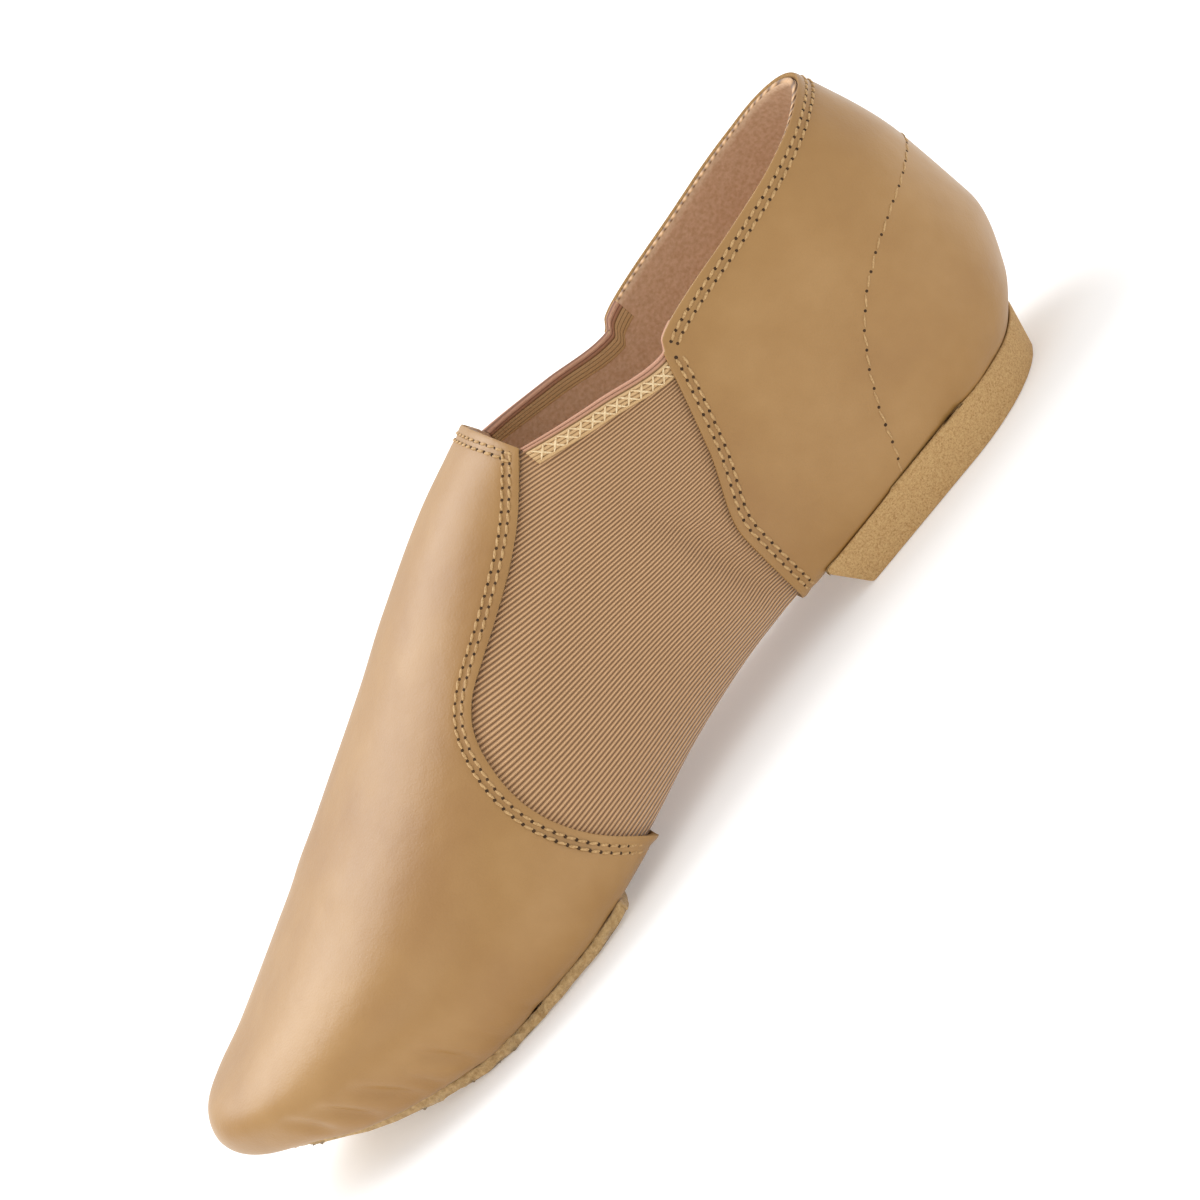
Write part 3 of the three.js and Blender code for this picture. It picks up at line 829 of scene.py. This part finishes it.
def threadBar(bm, a, b, out, width, lift=0.1):
    up = Vector(out).normalized()
    run = Vector(b - a)
    length = run.length
    run = (run - up * run.dot(up)).normalized()
    cross = up.cross(run)
    turn = Matrix((run, cross, up)).transposed().to_4x4()
    middle = Vector(inFrame((a + b) / 2)) + up * lift / 1000
    shape = Matrix.Diagonal((length / 2000, width / 2000, width / 2400, 1))
    place = Matrix.Translation(middle) @ turn @ shape @ Matrix.Rotation(math.pi / 2, 4, "Y")
    bmesh.ops.create_uvsphere(bm, u_segments=8, v_segments=6, radius=1.0, matrix=place)


def needleHoleShade(bm, at, out, radius):
    # a flat dark disc on the surface, painted shade in place of a real needle-holes recess
    turn = Vector(out).to_track_quat("Z", "Y").to_matrix().to_4x4()
    shape = Matrix.Diagonal((radius, radius, radius * 0.3, 1))
    place = Matrix.Translation(Vector(inFrame(at))) @ turn @ shape
    made = bmesh.ops.create_uvsphere(bm, u_segments=8, v_segments=4, radius=0.001, matrix=place)
    for v in made["verts"]:
        for f in v.link_faces:
            f.material_index = 1


def stitchRows(name, rows, pitch, length, width, drop=0.16):
    bm = bmesh.new()
    for points, out in rows:
        points = points - out * drop
        steps = np.r_[0, np.cumsum(np.linalg.norm(np.diff(points, axis=0), axis=1))]
        count = int(steps[-1] / pitch)
        pitchHere = steps[-1] / count

        def at(where, values):
            return np.array([np.interp(where, steps, values[:, i]) for i in range(3)])
        for k in range(count):
            middle = (k + 0.5) * pitchHere
            a, b = at(middle - length / 2, points), at(middle + length / 2, points)
            normal = at(middle, out)
            lean = np.cross(normal, b - a) * 0.09
            threadBar(bm, a - lean, b + lean, normal, width)
            needleHoleShade(bm, at(middle + pitchHere / 2, points), normal, 0.4)
    smoothFaces(bm)
    return keepPiece(bm, name, [thread, holeShade], None, weld=0)


seams = {"pitch": 2.4, "length": 2.0, "width": 0.66, "first": 1.9, "second": 3.4}
vampRows, quarterRows, collarRows, counterRows = [], [], [], []
for side in (1, -1):
    rim = vampRims[side]
    edge = rim["angle"][rim["first"]:rim["corner"]]
    girths = side * rim["girth"][rim["first"]:rim["corner"]]
    for inset in (seams["first"], seams["second"]):
        vampRows.append(insideEdge(edge, girths, side, side * inset))
    girths = side * np.linspace(0.29, 0.85, 220)
    edge = solveAngle(girths, quarterAhead, 0.15, 0.5)
    keep = rawPoint(edge, girths)[:, 2] < 62.5
    for inset in (seams["first"], seams["second"]):
        quarterRows.append(insideEdge(edge[keep], girths[keep], side, -side * inset))
    along = np.linspace(0.004, 0.345, 220)
    for inset in (seams["first"], seams["second"]):
        girth = side * solveGirth(along, side, lambda x: collarX(x) - inset)
        points, out = facePoint(along, girth)
        keep = points[:, 0] < 66 - inset * 0.4
        collarRows.append((points[keep], out[keep]))
    counter = np.array([
        (55.2, 10.6), (52.6, 15), (50.6, 19.6), (48.4, 24), (44.0, 30.5), (38.3, 36.8), (31.6, 41.6),
        (24.3, 44.9), (14.4, 47.2), (5.7, 48.3), (1.2, 48.6), (0.3, 48.7)])
    steps = np.linspace(0, 1, len(counter))
    fine = np.linspace(0, 1, 120)
    line = np.stack([np.interp(fine, steps, counter[:, 0]), fine * 0,
                     np.interp(fine, steps, counter[:, 1])], 1)
    counterRows.append(onFace(line, side))

girths = np.r_[np.linspace(0.8, 0.996, 60), -np.linspace(0.996, 0.8, 60)]
edge = solveAngle(girths, vampAhead, 0.3, 0.75)
keep = rawPoint(edge, girths)[:, 2] > 72.8
throatRows = []
for inset in (seams["first"], seams["second"]):
    x = (1 - np.cos(math.pi * edge)) / 2 * footLength + inset * 0.97
    throatRows.append(facePoint(footAngle(x / footLength)[keep], girths[keep]))
stitchRows("vampStitches", vampRows, seams["pitch"], seams["length"], seams["width"])
stitchRows("throatStitches", throatRows, seams["pitch"], seams["length"], seams["width"])
stitchRows("quarterStitches", quarterRows, seams["pitch"], seams["length"], seams["width"])
stitchRows("collarStitches", collarRows, seams["pitch"], seams["length"], seams["width"])
stitchRows("counterStitches", counterRows, 3.9, 2.7, 0.5, 0.05)

for side, node in ((1, "lateral"), (-1, "medial")):
    # crossing thread over the cords
    bm = bmesh.new()
    places = np.linspace(0.02, 0.98, 15)
    for first, last in ((0.4, 0.93), (0.93, 0.4)):
        a, out = bandPoint(side, places[:-1], np.full(14, first), binding["outer"] - 0.2)
        b = bandPoint(side, places[1:], np.full(14, last), binding["outer"] - 0.2)[0]
        for k in range(14):
            threadBar(bm, a[k], b[k], out[k], 0.5)
    smoothFaces(bm)
    keepPiece(bm, "zigzag_" + node, [paleThread], None, weld=0)
print("stitches made")

# Floor, light, camera
bm = bmesh.new()
bmesh.ops.create_grid(bm, x_segments=1, y_segments=1, size=6)
mesh = bpy.data.meshes.new("floor")
bm.to_mesh(mesh)
bm.free()
floor = bpy.data.objects.new("floor", mesh)
bpy.context.scene.collection.objects.link(floor)


def floorLook(nodes, links, shader, coords):
    shader.inputs["Base Color"].default_value = (0.8, 0.8, 0.8, 1)
    shader.inputs["Roughness"].default_value = 0.9
    shader.inputs["Emission Color"].default_value = (1, 1, 1, 1)
    shader.inputs["Emission Strength"].default_value = 0.25


mesh.materials.append(newMaterial("floorPaint", floorLook))

world = bpy.data.worlds.new("studio")
bpy.context.scene.world = world
world.use_nodes = True
world.node_tree.nodes["Background"].inputs["Color"].default_value = (1, 1, 1, 1)
world.node_tree.nodes["Background"].inputs["Strength"].default_value = 1.0


def softbox(name, place, size, power):
    data = bpy.data.lights.new(name, "AREA")
    data.shape = "DISK"
    data.size = size
    data.energy = power
    lamp = bpy.data.objects.new(name, data)
    lamp.location = place
    lamp.rotation_euler = (Vector((0, 0, 0.03)) - Vector(place)).to_track_quat("-Z", "Y").to_euler()
    bpy.context.scene.collection.objects.link(lamp)


softbox("key", (0.5, -0.7, 1.3), 1.4, 19)
softbox("fill", (1.0, 1.0, 0.9), 1.0, 2.5)

cam = {"azimuth": 177, "elevation": 16, "roll": 50, "distance": 1.15, "lens": 171,
       "target": (-0.0107, 0, 0.0356)}
data = bpy.data.cameras.new("camera")
data.lens = cam["lens"]
camera = bpy.data.objects.new("camera", data)
bpy.context.scene.collection.objects.link(camera)
a, e = math.radians(cam["azimuth"]), math.radians(cam["elevation"])
away = Vector((math.sin(a) * math.cos(e), -math.cos(a) * math.cos(e), math.sin(e)))
camera.location = Vector(cam["target"]) + away * cam["distance"]
camera.rotation_euler = (away.to_track_quat("Z", "Y").to_matrix().to_4x4()
                         @ Matrix.Rotation(math.radians(-cam["roll"]), 4, "Z")).to_euler()
bpy.context.scene.camera = camera
bpy.context.scene.view_settings.view_transform = "Standard"
